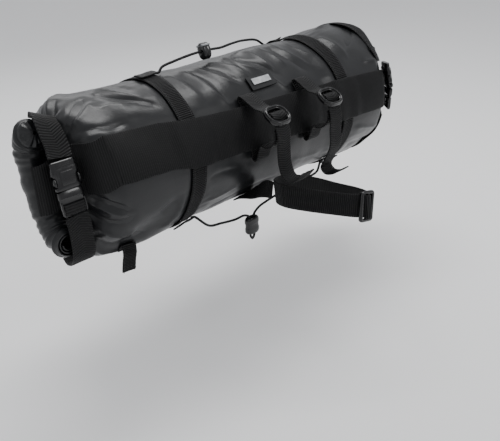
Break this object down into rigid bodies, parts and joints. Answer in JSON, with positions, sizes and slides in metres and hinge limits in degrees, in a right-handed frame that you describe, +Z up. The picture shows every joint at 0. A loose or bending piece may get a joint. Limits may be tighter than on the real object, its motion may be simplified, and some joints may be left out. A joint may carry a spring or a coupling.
{
  "type": "bicycle handlebar bag",
  "caption": "Roll-closed fabric tube bag strapped to a handlebar and head tube, with webbing spine, bands, buckled end closures and elastic cords.",
  "frame": {"origin": "on the handlebar's axis, midway between the bag's two band straps, where the bar strap loops hold the bag", "axes": "+X along the bag to the rider's right, +Y forward away from the rider, +Z up"},
  "size_m": [0.5434, 0.2863, 0.2302],
  "materials": {
    "coated_fabric": "satin",
    "webbing": "matte",
    "moulded_plastic": "gloss",
    "cord_sheath": "matte",
    "label_cloth": "matte"
  },
  "bodies": {
    "root": {"roll_body": "coated_fabric", "end_roll_left": "coated_fabric", "end_roll_right": "coated_fabric", "spine_webbing": "webbing", "band_left": "webbing", "band_right": "webbing", "closure_strap_upper_left": "webbing", "closure_strap_lower_left": "webbing", "closure_strap_upper_right": "webbing", "closure_strap_lower_right": "webbing", "closure_buckle_socket_left": "moulded_plastic", "closure_buckle_plug_left": "moulded_plastic", "closure_buckle_socket_right": "moulded_plastic", "closure_buckle_plug_right": "moulded_plastic", "bar_strap_left": "webbing", "bar_strap_right": "webbing", "bar_buckle_left": "moulded_plastic", "bar_buckle_right": "moulded_plastic", "head_strap": "webbing", "head_strap_anchor": "webbing", "tri_glide": "moulded_plastic", "top_cord": "cord_sheath", "bottom_cord": "cord_sheath", "cord_lock_top": "moulded_plastic", "cord_lock_bottom": "moulded_plastic", "cord_tab_top_left": "webbing", "cord_tab_top_right": "webbing", "cord_tab_bottom_left": "webbing", "cord_tab_bottom_right": "webbing", "hang_tag": "webbing", "label_flap": "coated_fabric", "woven_label": "label_cloth"}
  },
  "joints": []
}
